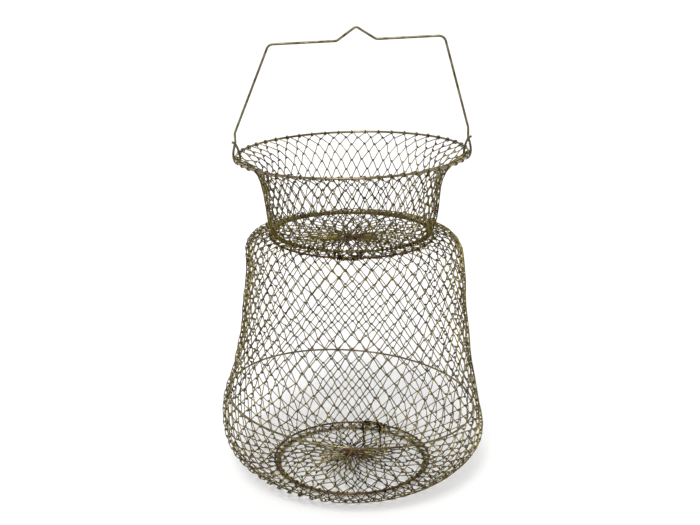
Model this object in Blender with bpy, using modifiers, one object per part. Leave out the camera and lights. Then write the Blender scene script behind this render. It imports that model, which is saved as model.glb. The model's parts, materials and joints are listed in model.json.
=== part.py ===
"""Collapsible wire keep net, standing open on its foot with the bail upright.

Metres, +Z up, origin at the centre of the foot on the floor. A wide round basket of knotted wire net hangs between
four rings: the mouth ring, the throat frame, the belly ring inside the net, and the bottom frame. Two sprung doors
open into the basket, one under the throat and one over the bottom. Both are the same door set, turned over.
"""

import math

import bmesh
import bpy
import numpy as np
from mathutils import Matrix, Vector

# Gap that touching pieces keep
CLEARANCE = 0.0003

# Net walls: neck, shoulder, side and bowl, as strands that cross in fewer and larger diamonds than the real net's
NET_STRAND = 0.0020
NECK_HEIGHT = 0.102
UPPER_BODY_HEIGHT = 0.230
BELLY_HEIGHT = 0.100
NECK_STANDOFF = 0.0062
NECK_CONE = 0.0125
NECK_GRADING = 1.5
FLARE_SHARPNESS = 8
TUCK_SHARPNESS = 12
MOUTH_SEAT_ANGLE = math.radians(24.0)
THROAT_SEAT_ANGLE = math.radians(60.0)
SHOULDER_WIDTH = 0.0414
SHOULDER_DROP = 0.033
SHOULDER_SQUARENESS = 2.5
SHELF_SAG = 0.0005
BULGE_DROP = 0.026
BOWL_ROUNDNESS = 1.7
FOOT_MARGIN = 0.0065

# Rings of round wire
MOUTH_RING_RADIUS = 0.150
MOUTH_RING_WIRE = 0.0030
MOUTH_LEAN = math.radians(1.5)
BELLY_RING_RADIUS = 0.165
BELLY_RING_WIRE = 0.0025
BELLY_LEAN = math.radians(4.0)
FRAME_RING_RADIUS = 0.0996
FRAME_RING_WIRE = 0.0025

# Doors: a ring a little larger than its frame, with a straight hinge bar and a net gathered at its centre
DOOR_OVERLAP = 0.0059
DOOR_RING_WIRE = 0.0025
HINGE_DROP = 0.0065
THROAT_HINGE_AZIMUTH = math.radians(-93.0)
BOTTOM_HINGE_AZIMUTH = math.radians(72.0)
DOOR_NET_DEPTH = 0.0010
DOOR_NET_STRAND = 0.0016
DOOR_NET_RIM = 0.0018
DOOR_NET_CELLS = 16
DOOR_NET_ROWS = 6
HUB_RADIUS = 0.014
GATHER_RADIUS = 0.0030
GATHER_LENGTH = 0.010

# Door spring: two coils on the hinge bar, a bridge that bears on the net and a leg on the door at each end
SPRING_WIRE = 0.0015
SPRING_PLAY = 0.00055
SPRING_TURNS = 3
SPRING_TURN_GAP = 0.0009
SPRING_BRIDGE_HALF = 0.0045
SPRING_BRIDGE_REACH = 0.012
SPRING_LEG_REACH = 0.082
SPRING_LEG_SLOPE = 0.009

# Hinge links: closed wire loops that hang the hinge bar from the frame ring
LINK_WIRE = 0.0012
LINK_PLAY = 0.0005
LINK_SPACING = 0.0028
BAR_END = 0.0014
SLOT_MARGIN = 0.0004

# Tie wire wound on the gathered strands of a door net
TIE_WIRE = 0.0010
TIE_TURNS = 3
TIE_TURN_GAP = 0.0006

# Bail handle, heights above the mouth ring
BAIL_WIRE = 0.0030
BAIL_PEAK = 0.158
BAIL_BAR = 0.1415
BAIL_PEAK_HALF = 0.0245
BAIL_CORNER_HALF = 0.109
BAIL_SHIFT = 0.009
BAIL_TILT = math.radians(1.4)
BAIL_CORNER_BEND = 0.009
BAIL_KNEE = 0.0275
BAIL_KNEE_BEND = 0.010
BAIL_PEAK_BEND = 0.004
EYE_TOP = 0.0125
EYE_BOTTOM = 0.0106
EYE_HALF_WIDTH = 0.0042
EYE_STUB = 0.004
EYE_DRIFT = 4
EYE_SLOT_MARGIN = 0.0008

# Facets
SEGMENTS = 40
RING_SIDES = 8
COIL_POINTS = 8
ARC_STEPS = 3
EYE_STEPS = 18
LINK_STEPS = 6

# Rows of knots in each net wall
NECK_STEPS = 4
SHOULDER_STEPS = 3
SIDE_STEPS = 6
BOWL_STEPS = 3

# Sizes that follow from the ones above
THROAT_HEIGHT = BELLY_HEIGHT + UPPER_BODY_HEIGHT
MOUTH_HEIGHT = THROAT_HEIGHT + NECK_HEIGHT
NET_SEAT = CLEARANCE + NET_STRAND / 2
BOTTOM_FRAME_HEIGHT = NET_STRAND + CLEARANCE + FRAME_RING_WIRE / 2
DOOR_RING_RADIUS = FRAME_RING_RADIUS + DOOR_OVERLAP
SHOULDER_RADIUS = FRAME_RING_RADIUS + SHOULDER_WIDTH
FOOT_RADIUS = DOOR_RING_RADIUS + FOOT_MARGIN
COIL_RADIUS = DOOR_RING_WIRE / 2 + SPRING_PLAY + SPRING_WIRE / 2
COIL_PITCH = SPRING_WIRE + SPRING_TURN_GAP
LEG_OFFSET = SPRING_BRIDGE_HALF + SPRING_TURNS * COIL_PITCH
LINK_OFFSET = LEG_OFFSET + SPRING_WIRE / 2 + LINK_SPACING
LINK_RADIUS = max(FRAME_RING_WIRE, DOOR_RING_WIRE) / 2 + LINK_PLAY + LINK_WIRE / 2
HINGE_BAR_HALF = LINK_OFFSET + LINK_WIRE / 2 + BAR_END
BAR_DISTANCE = math.sqrt(DOOR_RING_RADIUS**2 - HINGE_BAR_HALF**2)

# The object's pieces, and the shapes that cut them
PARTS = bpy.data.collections.new("wire_keep_net")
CUTTERS = bpy.data.collections.new("cutters")


def srgb(hex_colour):
    """Linear colour of an sRGB hex value."""
    parts = [int(hex_colour[i : i + 2], 16) / 255 for i in (0, 2, 4)]
    return [c / 12.92 if c <= 0.04045 else ((c + 0.055) / 1.055) ** 2.4 for c in parts]


def finish(name, hex_colour, roughness, metallic=0.9):
    """Principled material of one piece."""
    material = bpy.data.materials.new(name)
    material.use_nodes = True
    shader = material.node_tree.nodes["Principled BSDF"]
    shader.inputs["Base Color"].default_value = (*srgb(hex_colour), 1.0)
    shader.inputs["Roughness"].default_value = roughness
    shader.inputs["Metallic"].default_value = metallic
    return material


def add_piece(name, data, material, parent=None):
    """New object of the part."""
    piece = bpy.data.objects.new(name, data)
    data.materials.append(material)
    PARTS.objects.link(piece)
    piece.parent = parent
    return piece


def add_axis(name, matrix):
    """Empty on a joint's axis, which carries the pieces that move with it."""
    axis = bpy.data.objects.new(name, None)
    axis.matrix_world = matrix
    axis.empty_display_size = 0.02
    PARTS.objects.link(axis)
    return axis


def baked(piece):
    """Replace a piece by the plain mesh that it shows, with its loose caps welded."""
    bpy.context.view_layer.update()
    graph = bpy.context.evaluated_depsgraph_get()
    mesh = bpy.data.meshes.new_from_object(piece.evaluated_get(graph))
    shape = bmesh.new()
    shape.from_mesh(mesh)
    bmesh.ops.remove_doubles(shape, verts=shape.verts, dist=0.000001)
    shape.to_mesh(mesh)
    shape.free()
    solid = bpy.data.objects.new(piece.name, mesh)
    PARTS.objects.link(solid)
    solid.parent = piece.parent
    solid.matrix_world = piece.matrix_world.copy()
    name = piece.name
    bpy.data.objects.remove(piece)
    solid.name = name
    return solid


def turned(name, profile, material, parent=None):
    """Closed profile of (radius, height) points turned about +Z."""
    mesh = bpy.data.meshes.new(name)
    count = len(profile)
    edges = [(i, (i + 1) % count) for i in range(count)]
    mesh.from_pydata([(r, 0.0, z) for r, z in profile], edges, [])
    piece = add_piece(name, mesh, material, parent)
    turn = piece.modifiers.new("turn", "SCREW")
    turn.angle = 2 * math.pi
    turn.steps = turn.render_steps = SEGMENTS
    turn.use_merge_vertices = True
    turn.merge_threshold = 0.00001
    return piece


def wire_ring(name, radius, wire, material, parent=None):
    """Round ring of wire, its section a polygon with a flat at the top and at the bottom."""
    steps = [math.pi / 2 - (i + 0.5) * 2 * math.pi / RING_SIDES for i in range(RING_SIDES)]
    section = [(radius + wire / 2 * math.cos(a), wire / 2 * math.sin(a)) for a in steps]
    return turned(name, section, material, parent)


def net_wall(name, rows, material):
    """Net wall of strands that cross at knots, with rows of (radius, height) from its upper rim to its lower rim.

    A row has a knot at every second place round the axis, and the next row has its knots between those. The strands
    are the edges of the diamonds between the knots, and each rim has a point at every place, as the rings have.
    """
    shape = bmesh.new()
    last = len(rows) - 1
    places = range(SEGMENTS)
    knots = {}
    for row, (radius, height) in enumerate(rows):
        for place in places:
            if row in (0, last) or (row + place) % 2:
                angle = 2 * math.pi * place / SEGMENTS
                knots[row, place] = shape.verts.new((radius * math.cos(angle), radius * math.sin(angle), height))
    for row in range(last + 1):
        for place in places[row % 2 :: 2]:
            before, after = (place - 1) % SEGMENTS, (place + 1) % SEGMENTS
            diamond = (row, before), (min(row + 1, last), place), (row, after), (max(row - 1, 0), place)
            shape.faces.new([knots[corner] for corner in diamond])
    mesh = bpy.data.meshes.new(name)
    shape.to_mesh(mesh)
    shape.free()
    piece = add_piece(name, mesh, material)
    strands = piece.modifiers.new("strands", "WIREFRAME")
    strands.thickness = NET_STRAND
    strands.offset = 0.0
    strands.use_even_offset = True
    strands.use_boundary = True
    return piece


def wire_run(name, points, wire, material, parent=None, closed=False, sides=6):
    """Bent wire: a tube along the points, with filled caps where it is open."""
    curve = bpy.data.curves.new(name, "CURVE")
    curve.dimensions = "3D"
    curve.bevel_depth = wire / 2
    curve.bevel_resolution = (sides - 4) // 2
    curve.use_fill_caps = True
    run = curve.splines.new("POLY")
    run.points.add(len(points) - 1)
    run.points.foreach_set("co", [c for p in points for c in (*p, 1.0)])
    run.use_cyclic_u = closed
    return add_piece(name, curve, material, parent)


def combine(piece, other, operation):
    """Join another shape to a piece, or cut it out, with a Boolean modifier."""
    other.hide_render = True
    other.display_type = "WIRE"
    CUTTERS.objects.link(other)
    change = piece.modifiers.new(other.name, "BOOLEAN")
    change.operation = operation
    change.solver = "EXACT"
    change.object = other


def slot(piece, low, high, matrix, name):
    """Cut a box, given by two corners in the frame of a matrix, out of a piece."""
    size = Vector(high) - Vector(low)
    shape = bmesh.new()
    bmesh.ops.create_cube(shape, size=1.0, matrix=Matrix.Diagonal((*size, 1.0)))
    mesh = bpy.data.meshes.new(name)
    shape.to_mesh(mesh)
    shape.free()
    box = bpy.data.objects.new(name, mesh)
    box.matrix_world = matrix @ Matrix.Translation((Vector(low) + Vector(high)) / 2)
    combine(piece, box, "DIFFERENCE")


def rounded(corners, bends):
    """Points along straight runs whose inner corners are arcs of the given radii."""
    path = [Vector(corners[0])]
    for before, corner, after, bend in zip(corners, corners[1:], corners[2:], bends):
        corner = Vector(corner)
        back = (Vector(before) - corner).normalized()
        ahead = (Vector(after) - corner).normalized()
        half = back.angle(ahead) / 2
        centre = corner + (back + ahead).normalized() * bend / math.sin(half)
        start = corner + back * bend / math.tan(half) - centre
        end = corner + ahead * bend / math.tan(half) - centre
        for i in range(ARC_STEPS + 1):
            path.append(centre + start.slerp(end, i / ARC_STEPS) * bend)
    path.append(Vector(corners[-1]))
    return path


def shoulder_profile():
    """Net from the throat frame out over the shoulder: a quarter of a superellipse."""
    inner = FRAME_RING_RADIUS + FRAME_RING_WIRE / 2 + NET_SEAT
    top = THROAT_HEIGHT - SHELF_SAG
    low = THROAT_HEIGHT - SHOULDER_DROP
    power = 2 / SHOULDER_SQUARENESS
    points = []
    for a in np.linspace(0, math.pi / 2, SHOULDER_STEPS + 1):
        across = inner + (SHOULDER_RADIUS - inner) * math.sin(a) ** power
        points.append((across, low + (top - low) * math.cos(a) ** power))
    return points


def flare_share(s):
    """Share of the side's flare at share s of the way down it."""
    return (s + s**3) / 2


def side_height():
    """Height of the side, from its rim at the belly line up to the foot of the shoulder."""
    return UPPER_BODY_HEIGHT - SHOULDER_DROP - NET_SEAT


def belly_radius():
    """Net radius at the belly line, so that the side's lowest strands lie on the high side of the belly ring."""
    high = BELLY_RING_RADIUS * math.sin(BELLY_LEAN) + BELLY_RING_WIRE / 2 - NET_SEAT
    seat = BELLY_RING_RADIUS * math.cos(BELLY_LEAN) + BELLY_RING_WIRE / 2 + NET_SEAT
    lowest_flare = 1 - flare_share(1 - 1 / SIDE_STEPS)
    share = 1 - lowest_flare * SIDE_STEPS * high / side_height()
    return SHOULDER_RADIUS + (seat - SHOULDER_RADIUS) / share


def side_point(s):
    """Point at share s of the way from the foot of the shoulder down to the belly line."""
    radius = SHOULDER_RADIUS + (belly_radius() - SHOULDER_RADIUS) * flare_share(s)
    return radius, BELLY_HEIGHT + NET_SEAT + side_height() * (1 - s)


def bulge_slope():
    """Flare of the side where it meets the belly line, which the bulge goes on from."""
    return 2 * (belly_radius() - SHOULDER_RADIUS) / side_height()


def bulge_radius():
    """Net radius where it is widest."""
    return belly_radius() + bulge_slope() * BULGE_DROP / 2


def bowl_profile():
    """Net from the belly line to where it is widest, then in under the basket: a quarter of a superellipse."""
    bulge = bulge_radius()
    points = [(belly_radius(), BELLY_HEIGHT - NET_SEAT)]
    inner = FOOT_RADIUS - NET_STRAND
    depth = BELLY_HEIGHT - BULGE_DROP - NET_STRAND / 2
    power = 2 / BOWL_ROUNDNESS
    for a in np.linspace(0, math.pi / 2, BOWL_STEPS + 1):
        across = inner + (bulge - inner) * math.cos(a) ** power
        points.append((across, NET_STRAND / 2 + depth * (1 - math.sin(a) ** power)))
    return points


def foot_section():
    """Section of the flat foot that the net ends in, from its outer side in under the bottom frame."""
    inner = FRAME_RING_RADIUS - FRAME_RING_WIRE / 2
    return [(FOOT_RADIUS, NET_STRAND), (FOOT_RADIUS, 0.0), (inner, 0.0), (inner, NET_STRAND)]


def neck_profile():
    """From the throat frame up the neck: a slight cone that tucks in at the throat and flares out to the mouth."""
    seat = FRAME_RING_WIRE / 2 + NET_SEAT
    low_radius = FRAME_RING_RADIUS + seat * math.cos(THROAT_SEAT_ANGLE)
    low = THROAT_HEIGHT + seat * math.sin(THROAT_SEAT_ANGLE)
    seat = MOUTH_RING_WIRE / 2 + NET_SEAT
    high_radius = MOUTH_RING_RADIUS - seat * math.cos(MOUTH_SEAT_ANGLE)
    high = MOUTH_HEIGHT - seat * math.sin(MOUTH_SEAT_ANGLE)
    waist = FRAME_RING_RADIUS + NECK_STANDOFF
    flare = high_radius - waist - NECK_CONE
    tuck = waist - low_radius
    points = []
    for v in 1 - np.linspace(0, 1, NECK_STEPS + 1) ** NECK_GRADING:
        radius = waist + NECK_CONE * v + flare * v**FLARE_SHARPNESS - tuck * (1 - v) ** TUCK_SHARPNESS
        points.append((radius, low + (high - low) * v))
    return points


def lean_neck(piece):
    """Shear the neck so that its rim follows the leaning mouth ring and its foot stays level."""
    mesh = piece.data
    points = np.empty(len(mesh.vertices) * 3)
    mesh.vertices.foreach_get("co", points)
    points = points.reshape(-1, 3)
    share = np.clip((points[:, 2] - THROAT_HEIGHT) / NECK_HEIGHT, 0.0, 1.0)
    points[:, 2] += points[:, 0] * math.tan(MOUTH_LEAN) * share
    mesh.vertices.foreach_set("co", points.ravel())
    mesh.update()


def bail_points():
    """Wire's centre line from one end stub to the other, in the plane of the upright bail.

    The bar stands a little to one side and rises to it, as the photographed bail is bent.
    """
    def bar(across):
        return BAIL_SHIFT + across, 0.0, BAIL_BAR + across * math.tan(BAIL_TILT)

    corners = [
        (-MOUTH_RING_RADIUS, 0.0, EYE_TOP),
        (-MOUTH_RING_RADIUS, 0.0, BAIL_KNEE),
        bar(-BAIL_CORNER_HALF),
        bar(-BAIL_PEAK_HALF),
        (BAIL_SHIFT, 0.0, BAIL_PEAK),
        bar(BAIL_PEAK_HALF),
        bar(BAIL_CORNER_HALF),
        (MOUTH_RING_RADIUS, 0.0, BAIL_KNEE),
        (MOUTH_RING_RADIUS, 0.0, EYE_TOP),
    ]
    half = [BAIL_KNEE_BEND, BAIL_CORNER_BEND, BAIL_CORNER_BEND]
    eye = eye_points()
    left = [Vector((-p.x, p.y, p.z)) for p in eye[::-1]]
    return left + rounded(corners, [*half, BAIL_PEAK_BEND, *half[::-1]])[1:-1] + eye


def eye_points():
    """Eye at the bail's right end: a teardrop down its outer side, under the ring and up its inner side.

    x = W sin(t) sin(t / 2), z = middle + H cos(t), t from 0 at the top to 2 pi. The wire drifts sideways by its own
    thickness on the way round, so that its end crosses in front of the leg and sticks out as a short stub.
    """
    reach = EYE_HALF_WIDTH / max(math.sin(t) * math.sin(t / 2) for t in np.linspace(0, math.pi, 60))
    height = (EYE_TOP + EYE_BOTTOM) / 2
    points = []
    for t in np.linspace(0, 2 * math.pi, EYE_STEPS + 1):
        across = MOUTH_RING_RADIUS + reach * math.sin(t) * math.sin(t / 2)
        aside = -(BAIL_WIRE + 2 * CLEARANCE) * (t / (2 * math.pi)) ** EYE_DRIFT
        points.append(Vector((across, aside, EYE_TOP - height + height * math.cos(t))))
    way = (points[-1] - points[-2]).normalized()
    return points + [points[-1] + way * EYE_STUB]


def hinge_frame(azimuth, height, inside):
    """Frame of a door hinge: x along the bar, y to the door's centre, z into the basket (inside is +1 up, -1 down)."""
    inward = Vector((-math.cos(azimuth), -math.sin(azimuth), 0.0))
    into = Vector((0.0, 0.0, inside))
    frame = Matrix((inward.cross(into), inward, into)).transposed().to_4x4()
    frame.translation = -inward * BAR_DISTANCE + Vector((0.0, 0.0, height + inside * HINGE_DROP))
    return frame


def door_angles():
    """Angles round the door's centre where its ring has a point, from one end of the hinge bar to the other."""
    gap = math.asin(HINGE_BAR_HALF / DOOR_RING_RADIUS)
    return np.linspace(-math.pi / 2 + gap, 3 * math.pi / 2 - gap, SEGMENTS)


def door_ring_points():
    """Door ring in the hinge frame: an arc closed by the straight hinge bar."""
    points = [
        (DOOR_RING_RADIUS * math.cos(a), BAR_DISTANCE + DOOR_RING_RADIUS * math.sin(a), 0.0)
        for a in door_angles()
    ]
    return points + [(x, 0.0, 0.0) for x in np.linspace(-HINGE_BAR_HALF, HINGE_BAR_HALF, 5)[1:-1]]


def link_way():
    """Way along a hinge link, from the hinge bar to the frame ring, in the hinge frame's y and z."""
    beside = BAR_DISTANCE - math.sqrt(FRAME_RING_RADIUS**2 - LINK_OFFSET**2)
    return Vector((beside, -HINGE_DROP))


def hinge_side():
    """Distance from the hinge bar to a door net's straight edge, clear of the coils and of the hinge links."""
    coils = COIL_RADIUS + SPRING_WIRE / 2
    way = link_way().normalized()
    links = (LINK_RADIUS + LINK_WIRE / 2 + DOOR_NET_DEPTH / 2 * way.x) / -way.y
    return max(coils, links) + 2 * CLEARANCE


def net_rim():
    """Outline of a door net: inside the ring, with a straight edge on the hinge side."""
    radius = DOOR_RING_RADIUS - DOOR_RING_WIRE / 2 - CLEARANCE
    edge = hinge_side() - BAR_DISTANCE
    gap = math.acos(-edge / radius)
    return [(radius * math.cos(a), radius * math.sin(a)) for a in net_angles(gap)], -edge


def net_angles(gap):
    """Angles of the ring's points that the net's outline keeps, with the two where it meets its straight edge."""
    inner = [a for a in door_angles() if -math.pi / 2 + gap < a < 3 * math.pi / 2 - gap]
    return [-math.pi / 2 + gap, *inner, 3 * math.pi / 2 - gap]


def cut_off(corners, low):
    """What a convex outline leaves above a line of constant y."""
    kept = []
    for here, there in zip(corners, corners[1:] + corners[:1]):
        if here.y > low:
            kept.append(here)
        if (here.y > low) != (there.y > low):
            kept.append(here.lerp(there, (low - here.y) / (there.y - here.y)))
    return kept


def shrunk(corners, by):
    """Convex outline with each side moved inwards, or nothing where a side would vanish."""
    sides = list(zip(corners, corners[1:] + corners[:1]))
    middle = sum(corners, Vector((0.0, 0.0))) / max(1, len(corners))
    lines = []
    for here, there in sides:
        way = (there - here).normalized()
        normal = way.orthogonal()
        lines.append((here + normal * math.copysign(by, normal.dot(middle - here)), way))
    inner = []
    for (p, u), (q, v) in zip(lines[-1:] + lines[:-1], lines):
        inner.append(p + u * ((q - p).cross(v) / u.cross(v)))
    ends = zip(inner, inner[1:] + inner[:1])
    if any((b - a).dot(there - here) < by**2 for (a, b), (here, there) in zip(ends, sides)):
        return []
    return inner


def net_gaps(rim_radius, edge):
    """Gaps of a door net: diamonds in rings that widen from the hub to the rim, and triangles along the rim."""
    outer = rim_radius - DOOR_NET_RIM
    growth = (outer / HUB_RADIUS) ** (1 / DOOR_NET_ROWS)
    half = math.pi / DOOR_NET_CELLS

    def knot(row, place):
        radius = HUB_RADIUS * growth**row
        angle = place * half + math.pi / 2
        return Vector((radius * math.cos(angle), radius * math.sin(angle)))

    gaps = []
    for row in range(1, DOOR_NET_ROWS + 1):
        for cell in range(DOOR_NET_CELLS):
            place = 2 * cell + row % 2
            corners = [knot(row - 1, place), knot(row, place + 1), knot(row, place - 1)]
            if row < DOOR_NET_ROWS:
                corners.insert(2, knot(row + 1, place))
            gaps.append(shrunk(cut_off(corners, edge + DOOR_NET_RIM), DOOR_NET_STRAND / 2))
    return [gap for gap in gaps if gap]


def door_net(name, material, axis):
    """Flat net of a door, with its strands gathered into a stub on the inside of the basket."""
    rim, straight = net_rim()
    outlines = [rim, *net_gaps(math.hypot(*rim[0]), -straight)]
    curve = bpy.data.curves.new(name, "CURVE")
    curve.dimensions = "2D"
    curve.fill_mode = "BOTH"
    curve.extrude = DOOR_NET_DEPTH / 2
    for outline in outlines:
        line = curve.splines.new("POLY")
        line.points.add(len(outline) - 1)
        line.points.foreach_set("co", [c for x, y in outline for c in (x, y + BAR_DISTANCE, 0.0, 1.0)])
        line.use_cyclic_u = True
    net = baked(add_piece(name, curve, material, axis))

    shape = bmesh.new()
    place = Matrix.Translation((0.0, BAR_DISTANCE, GATHER_LENGTH / 2))
    bmesh.ops.create_cone(
        shape,
        cap_ends=True,
        segments=10,
        radius1=GATHER_RADIUS,
        radius2=GATHER_RADIUS,
        depth=GATHER_LENGTH,
        matrix=place,
    )
    mesh = bpy.data.meshes.new(name + "_gather")
    shape.to_mesh(mesh)
    shape.free()
    gather = bpy.data.objects.new(name + "_gather", mesh)
    gather.parent = axis
    combine(net, gather, "UNION")


def spring_points(net_level):
    """Door spring's centre line in the hinge frame; net_level is the height of the net that the bridge bears on.

    Each coil is a helix on the hinge bar: x grows by the pitch each turn, y and z run round at the coil's radius.
    It starts and ends at the top of its turn, where the leg and the bridge leave it square to the bar.
    """
    top = COIL_RADIUS
    rest = DOOR_NET_DEPTH / 2 + CLEARANCE + SPRING_WIRE / 2
    press = net_level + CLEARANCE + SPRING_WIRE / 2
    bend = SPRING_BRIDGE_HALF / 2
    half = [
        (LEG_OFFSET, SPRING_LEG_REACH, rest),
        (LEG_OFFSET, SPRING_LEG_SLOPE, rest),
        (LEG_OFFSET, SPRING_WIRE, top),
    ]
    count = SPRING_TURNS * COIL_POINTS
    for i in range(count + 1):
        angle = 2 * math.pi * i / COIL_POINTS
        along = LEG_OFFSET - COIL_PITCH * SPRING_TURNS * i / count
        half.append((along, -COIL_RADIUS * math.sin(angle), COIL_RADIUS * math.cos(angle)))
    half += [
        (SPRING_BRIDGE_HALF, -SPRING_WIRE, top),
        (SPRING_BRIDGE_HALF, -SPRING_BRIDGE_REACH + bend, press + SPRING_WIRE / 2),
        (SPRING_BRIDGE_HALF - bend / 2, -SPRING_BRIDGE_REACH + bend / 3, press),
        (bend, -SPRING_BRIDGE_REACH, press),
    ]
    return half + [(-x, y, z) for x, y, z in half[::-1]]


def link_points():
    """Hinge link in the hinge frame: a long loop round the hinge bar and round the frame ring beside it."""
    way = link_way()
    points = []
    for middle, start in ((way, -math.pi / 2), (Vector((0.0, 0.0)), math.pi / 2)):
        for a in np.linspace(start, start + math.pi, LINK_STEPS + 1):
            points.append(middle + Matrix.Rotation(a, 2) @ way.normalized() * LINK_RADIUS)
    return points


def tie_points():
    """Tie wire in the hinge frame: a helix round the gathered strands."""
    radius = GATHER_RADIUS + CLEARANCE + TIE_WIRE / 2
    start = DOOR_NET_DEPTH / 2 + CLEARANCE + TIE_WIRE / 2
    pitch = TIE_WIRE + TIE_TURN_GAP
    points = []
    for i in range(TIE_TURNS * COIL_POINTS + 1):
        angle = 2 * math.pi * i / COIL_POINTS
        height = start + pitch * i / COIL_POINTS
        points.append((radius * math.cos(angle), BAR_DISTANCE + radius * math.sin(angle), height))
    return points


def least_gap(points, wire):
    """Least gap of a tube to itself, between places three wires or more apart along it."""
    spots = np.array(points)
    steps = np.linalg.norm(np.diff(spots, axis=0), axis=1)
    fine = []
    for here, there, step in zip(spots, spots[1:], steps):
        count = max(2, math.ceil(step / (wire / 4)))
        fine += [here + (there - here) * i / count for i in range(count)]
    fine = np.array(fine)
    along = np.concatenate([[0.0], np.cumsum(np.linalg.norm(np.diff(fine, axis=0), axis=1))])
    apart = np.linalg.norm(fine[:, None] - fine[None], axis=2)
    apart[np.abs(along[:, None] - along[None]) < 3 * wire] = np.inf
    return float(apart.min() - wire)


def door_set(prefix, azimuth, frame_height, inside, net_profile, shells):
    """Frame ring, hinge links, and a door of ring, net, tie and spring on the hinge's axis, which opens inwards.

    inside is the way into the basket, +1 up or -1 down, and net_profile is the net wall that the door closes on.
    """
    wire = finish(prefix + "_frame_ring", "6b5136", 0.42)
    frame = wire_ring(prefix + "_frame_ring", FRAME_RING_RADIUS, FRAME_RING_WIRE, wire)
    frame.location.z = frame_height
    hinge = hinge_frame(azimuth, frame_height, inside)

    def net_level(radius):
        reach = radius / math.cos(math.pi / SEGMENTS)
        middle = np.interp(reach, *np.transpose(sorted(net_profile)))
        return inside * (middle - hinge.translation.z) + NET_STRAND / 2

    closed = net_level(DOOR_RING_RADIUS + DOOR_RING_WIRE / 2) + DOOR_RING_WIRE / 2 + CLEARANCE
    on_net = -closed / (BAR_DISTANCE + DOOR_RING_RADIUS)
    over = -HINGE_DROP + FRAME_RING_WIRE / 2 + CLEARANCE + DOOR_NET_DEPTH / 2
    on_frame = -over / (BAR_DISTANCE + FRAME_RING_RADIUS)
    tilt = math.asin(min(on_net, on_frame))
    axis = add_axis(prefix + "_door_hinge", hinge @ Matrix.Rotation(-tilt, 4, "X"))

    ring = finish(prefix + "_door_ring", "6a4a2f", 0.42)
    wire_run(prefix + "_door_ring", door_ring_points(), DOOR_RING_WIRE, ring, axis, closed=True, sides=6)
    door_net(prefix + "_door_net", finish(prefix + "_door_net", "7a6a42", 0.4), axis)
    steel = finish(prefix + "_door_spring", "8c8256", 0.34)
    bridge = BAR_DISTANCE + SPRING_BRIDGE_REACH + SPRING_WIRE
    spring = spring_points(net_level(bridge) - SPRING_BRIDGE_REACH * tilt)
    wire_run(prefix + "_door_spring", spring, SPRING_WIRE, steel, axis)
    print(f"{prefix} spring's least gap to itself {least_gap(spring, SPRING_WIRE) * 1000:.2f} mm")
    tie = finish(prefix + "_door_tie", "5d4426", 0.5)
    wire_run(prefix + "_door_tie", tie_points(), TIE_WIRE, tie, axis)

    loop = link_points()
    for side, sign in (("left", -1), ("right", 1)):
        name = f"{prefix}_hinge_link_{side}"
        offset = sign * inside * LINK_OFFSET
        points = [hinge @ Vector((offset, y, z)) for y, z in loop]
        wire_run(name, points, LINK_WIRE, finish(name, "75613a", 0.4), closed=True)
        margin = LINK_WIRE / 2 + SLOT_MARGIN
        low = (offset - margin, min(p.x for p in loop) - margin, min(p.y for p in loop) - margin)
        high = (offset + margin, max(p.x for p in loop) + margin, max(p.y for p in loop) + margin)
        for shell in shells:
            slot(shell, low, high, hinge, f"{name}_slot_in_{shell.name}")


def clear_scene():
    """Remove what a new file brings along."""
    for old in list(bpy.data.objects):
        bpy.data.objects.remove(old)
    for group in (PARTS, CUTTERS):
        bpy.context.scene.collection.children.link(group)


def main():
    clear_scene()
    mouth_frame = Matrix.Translation((0.0, 0.0, MOUTH_HEIGHT)) @ Matrix.Rotation(-MOUTH_LEAN, 4, "Y")
    mouth = add_axis("bail_swing_axis", mouth_frame)
    wire_ring("mouth_ring", MOUTH_RING_RADIUS, MOUTH_RING_WIRE, finish("mouth_ring", "6f6040", 0.4), mouth)
    bail = finish("bail_handle", "8a8564", 0.36)
    wire_run("bail_handle", bail_points(), BAIL_WIRE, bail, mouth, sides=8)

    belly = wire_ring("belly_ring", BELLY_RING_RADIUS, BELLY_RING_WIRE, finish("belly_ring", "66553a", 0.42))
    belly.matrix_world = Matrix.Translation((0.0, 0.0, BELLY_HEIGHT)) @ Matrix.Rotation(BELLY_LEAN, 4, "Y")

    neck = baked(net_wall("neck_net", neck_profile(), finish("neck_net", "857748", 0.4)))
    lean_neck(neck)
    side = [side_point(s) for s in np.linspace(0, 1, SIDE_STEPS + 1)[1:]]
    upper = net_wall("upper_body_net", shoulder_profile() + side, finish("upper_body_net", "857748", 0.4))
    lower = net_wall("lower_body_net", bowl_profile(), finish("lower_body_net", "857748", 0.4))
    foot = turned("flat_foot", foot_section(), lower.active_material)
    PARTS.objects.unlink(foot)
    combine(lower, foot, "UNION")

    reach = EYE_HALF_WIDTH + BAIL_WIRE / 2 + EYE_SLOT_MARGIN
    swing = EYE_BOTTOM + BAIL_WIRE / 2 + EYE_SLOT_MARGIN
    depth = MOUTH_RING_WIRE + BAIL_WIRE + EYE_SLOT_MARGIN
    for side, sign in (("left", -1), ("right", 1)):
        low = (sign * MOUTH_RING_RADIUS - reach, -swing, -depth)
        high = (sign * MOUTH_RING_RADIUS + reach, swing, depth)
        slot(neck, low, high, mouth_frame, f"eye_slot_{side}")

    door_set("throat", THROAT_HINGE_AZIMUTH, THROAT_HEIGHT, -1, shoulder_profile(), (neck, upper))
    door_set("bottom", BOTTOM_HINGE_AZIMUTH, BOTTOM_FRAME_HEIGHT, 1, bowl_profile(), (lower,))
    print(f"tie's least gap to itself {least_gap(tie_points(), TIE_WIRE) * 1000:.2f} mm")


main()
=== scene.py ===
"""Collapsible wire keep net: knotted nets, wire rings, sprung doors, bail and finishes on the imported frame.

Laid out as an add-on and run as a script. Metres, +Z up, in the frame's own coordinates.
"""

import json
import math

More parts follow.
